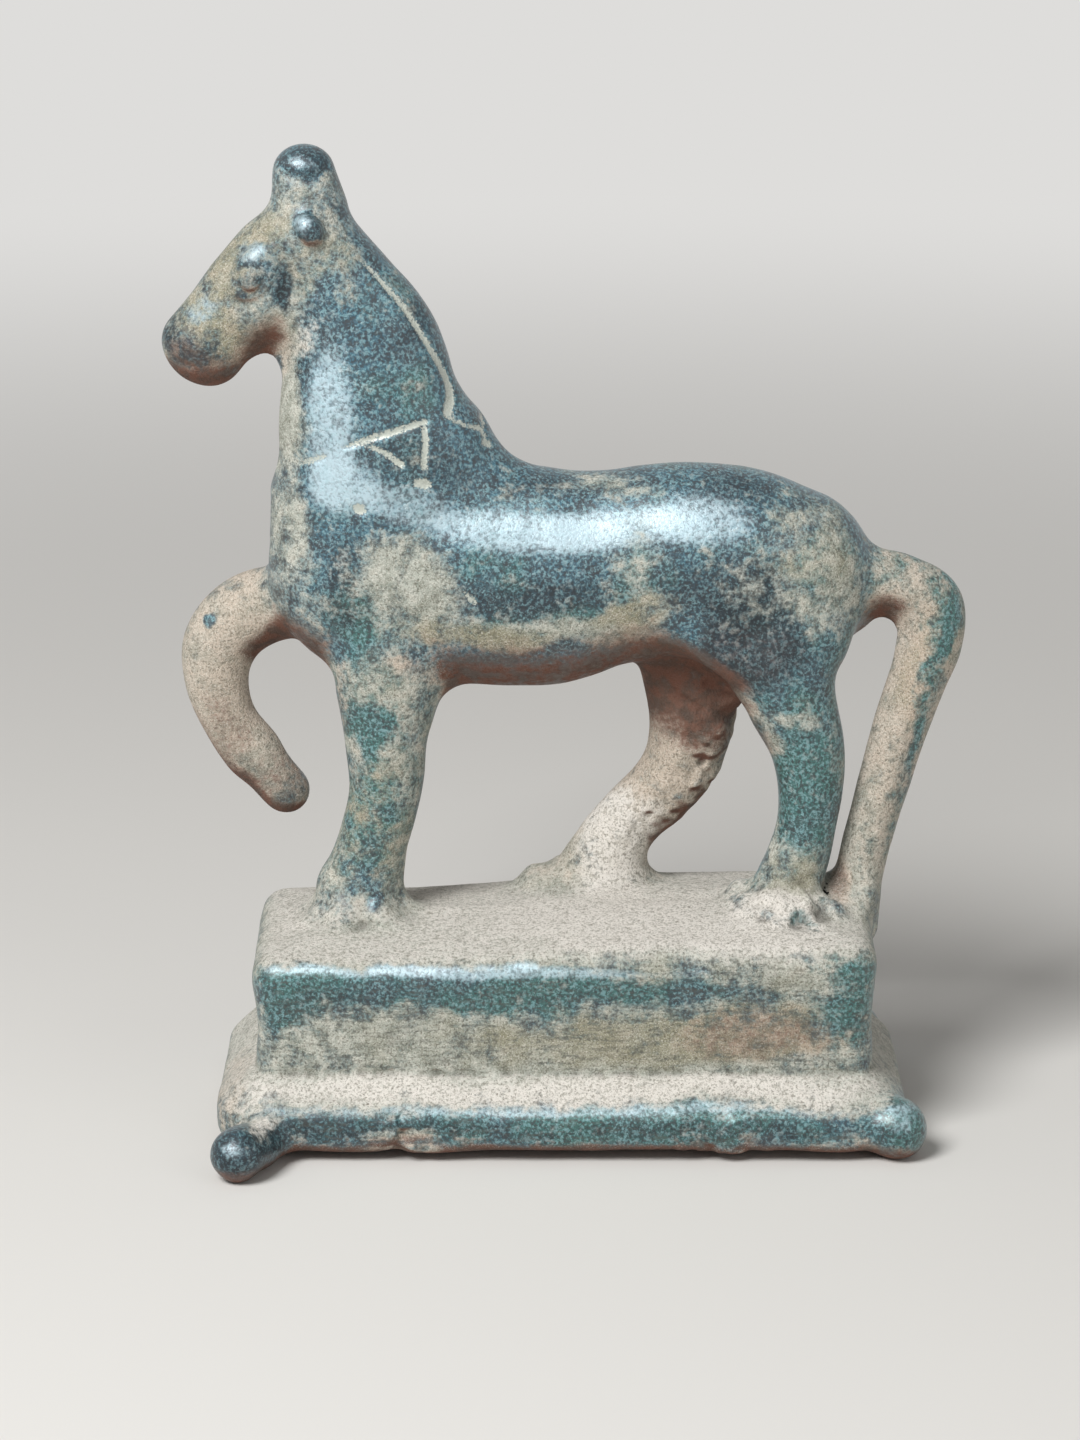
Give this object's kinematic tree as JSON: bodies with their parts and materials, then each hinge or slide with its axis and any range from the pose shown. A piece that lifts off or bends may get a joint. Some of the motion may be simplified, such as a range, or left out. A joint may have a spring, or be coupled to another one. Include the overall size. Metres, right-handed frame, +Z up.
{
  "type": "horse statuette",
  "caption": "Small cast bronze horse with one foreleg lifted and its tail reaching the deck, on a hollow oblong plinth with a sloping foot frame and ball feet.",
  "frame": {"origin": "on the ground under the middle of the statuette's overall box", "axes": "+Z up; the horse faces -X, its tail points to +X and its left side faces -Y"},
  "size_m": [0.0732, 0.0378, 0.0903],
  "materials": {
    "patina_bronze": "smooth worn blue-green patina",
    "green_bronze": "mottled green patina with pale earth",
    "dark_bronze": "dark glossy patina",
    "earthen_bronze": "dull pale earth over patina",
    "solder_bronze": "lumpy grey-white crust"
  },
  "bodies": {
    "root": {"plinth": "green_bronze", "foot_frame": "earthen_bronze", "foot_near_left": "dark_bronze", "foot_near_right": "dark_bronze", "foot_far_left": "dark_bronze", "foot_far_right": "dark_bronze", "trunk": "patina_bronze", "neck": "patina_bronze", "head": "earthen_bronze", "topknot": "dark_bronze", "left_ear": "dark_bronze", "right_ear": "dark_bronze", "left_eye": "patina_bronze", "right_eye": "patina_bronze", "left_foreleg": "earthen_bronze", "right_foreleg": "earthen_bronze", "left_hind_leg": "patina_bronze", "right_hind_leg": "earthen_bronze", "tail": "green_bronze", "solder_left_fore": "solder_bronze", "solder_left_hind": "solder_bronze", "solder_right_hind": "solder_bronze", "solder_tail": "solder_bronze"}
  },
  "joints": []
}
